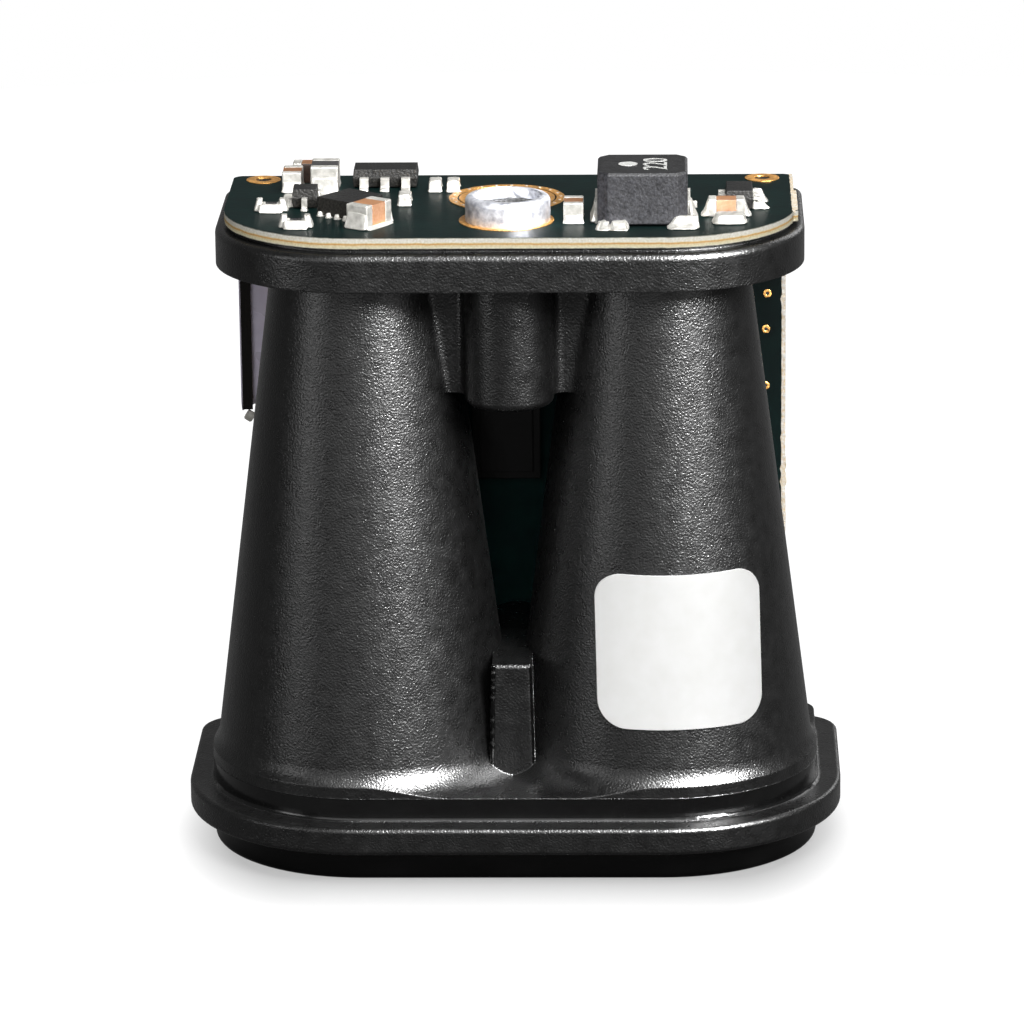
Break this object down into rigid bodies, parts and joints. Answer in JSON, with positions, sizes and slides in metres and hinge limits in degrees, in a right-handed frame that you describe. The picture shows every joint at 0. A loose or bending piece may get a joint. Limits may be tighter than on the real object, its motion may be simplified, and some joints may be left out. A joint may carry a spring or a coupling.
{
  "type": "micro lidar sensor",
  "caption": "Micro lidar sensor with a moulded twin-tube optics housing, two lenses, a driver board on top, a main board behind, a receptacle and a blank label.",
  "frame": {"origin": "on the lens bezel's outer face, midway between the two lens axes", "axes": "+Z from the lens end to the driver board, +Y towards the main board, +X from the transmit tube to the receive tube"},
  "size_m": [0.03, 0.0191, 0.0319],
  "materials": {
    "moulded_black": "moulded, fine matt spark texture",
    "bezel_black": "moulded, polished",
    "lens_clear": "moulded clear lens, polished",
    "label_film": "white satin film",
    "solder_mask": "dark green solder mask",
    "tinned_post": "turned and tinned",
    "gold_can": "gold-plated can",
    "window_glass": "polished window",
    "ferrite": "pressed ferrite",
    "tin": "tin plate",
    "chip_epoxy": "moulded epoxy",
    "salmon_ceramic": "fired ceramic",
    "brown_ceramic": "fired ceramic",
    "resistor_glaze": "glazed film",
    "screw_steel": "zinc-plated steel",
    "black_nylon": "moulded nylon",
    "gold_pin": "gold flash",
    "shell_steel": "folded tinned sheet",
    "nickel_can": "nickel-plated lid",
    "tantalum_yellow": "moulded epoxy",
    "ivory_nylon": "moulded nylon"
  },
  "bodies": {
    "root": {"optics_housing": "moulded_black", "lens_bezel": "bezel_black", "transmit_lens": "lens_clear", "receive_lens": "lens_clear", "tube_label": "label_film", "driver_board": "solder_mask", "main_board": "solder_mask", "retaining_post": "tinned_post", "laser_diode": "gold_can", "detector_diode": "gold_can", "laser_window": "window_glass", "detector_window": "window_glass", "power_inductor": "ferrite", "inductor_terminals": "tin", "charge_switch_leads": "tin", "converter_pads": "tin", "gate_diode_leads": "tin", "clamp_diode_leads": "tin", "pulse_capacitor_ends": "tin", "bulk_capacitor_ends": "tin", "filter_capacitors_ends": "tin", "snubber_capacitor_ends": "tin", "bypass_capacitors_ends": "tin", "chip_resistors_ends": "tin", "processor_leads": "tin", "main_board_capacitors_ends": "tin", "tantalum_ends": "tin", "charge_switch": "chip_epoxy", "converter_chip": "chip_epoxy", "gate_diode": "chip_epoxy", "clamp_diode": "chip_epoxy", "timing_chip": "chip_epoxy", "processor": "chip_epoxy", "pulse_capacitor": "salmon_ceramic", "snubber_capacitor": "salmon_ceramic", "bulk_capacitor": "brown_ceramic", "filter_capacitors": "brown_ceramic", "bypass_capacitors": "brown_ceramic", "main_board_capacitors": "brown_ceramic", "chip_resistors": "resistor_glaze", "main_board_screw": "screw_steel", "board_header": "black_nylon", "receptacle_insulator": "black_nylon", "header_pins": "gold_pin", "receptacle_contacts": "gold_pin", "wire_socket_pins": "gold_pin", "receptacle_shell": "shell_steel", "crystal": "nickel_can", "tantalum_capacitor": "tantalum_yellow", "wire_socket": "ivory_nylon"}
  },
  "joints": []
}
